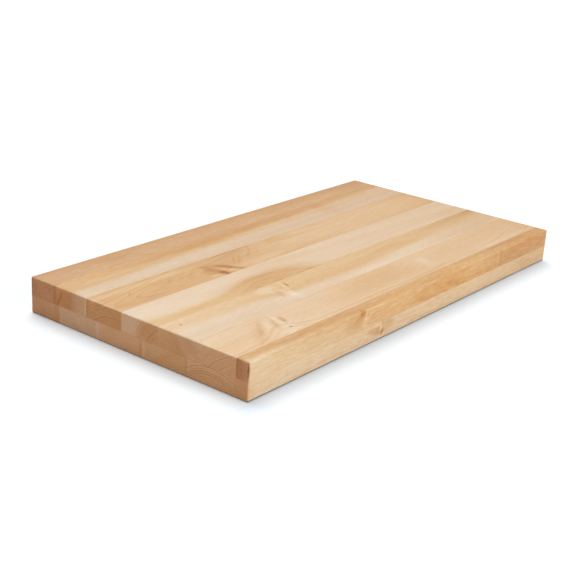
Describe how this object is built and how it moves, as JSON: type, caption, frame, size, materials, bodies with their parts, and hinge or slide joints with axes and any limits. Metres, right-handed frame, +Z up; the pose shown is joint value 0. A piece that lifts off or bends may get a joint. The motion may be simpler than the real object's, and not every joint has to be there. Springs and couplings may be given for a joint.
{
  "type": "butcher block countertop",
  "caption": "Flat rectangular worktop slab of solid maple, glued up from two layers of full-length staves with staggered joints, all outer edges eased, lying flat.",
  "frame": {"origin": "centre of the slab's underside", "axes": "+X along the grain and the slab's length, +Y across the staves towards the back edge, +Z up"},
  "size_m": [0.635, 0.3302, 0.0444],
  "materials": {
    "cream_maple": "sanded sapwood with a thin coat of oil, satin",
    "golden_maple": "sanded golden heartwood with a thin coat of oil, satin",
    "tan_maple": "sanded tan heartwood with a thin coat of oil, satin"
  },
  "bodies": {
    "root": {"upper_stave_1": "tan_maple", "upper_stave_2": "golden_maple", "upper_stave_3": "golden_maple", "upper_stave_4": "cream_maple", "upper_stave_5": "golden_maple", "upper_stave_6": "cream_maple", "upper_stave_7": "golden_maple", "lower_stave_1": "tan_maple", "lower_stave_2": "cream_maple", "lower_stave_3": "tan_maple", "lower_stave_4": "golden_maple", "lower_stave_5": "golden_maple", "lower_stave_6": "cream_maple"}
  },
  "joints": []
}
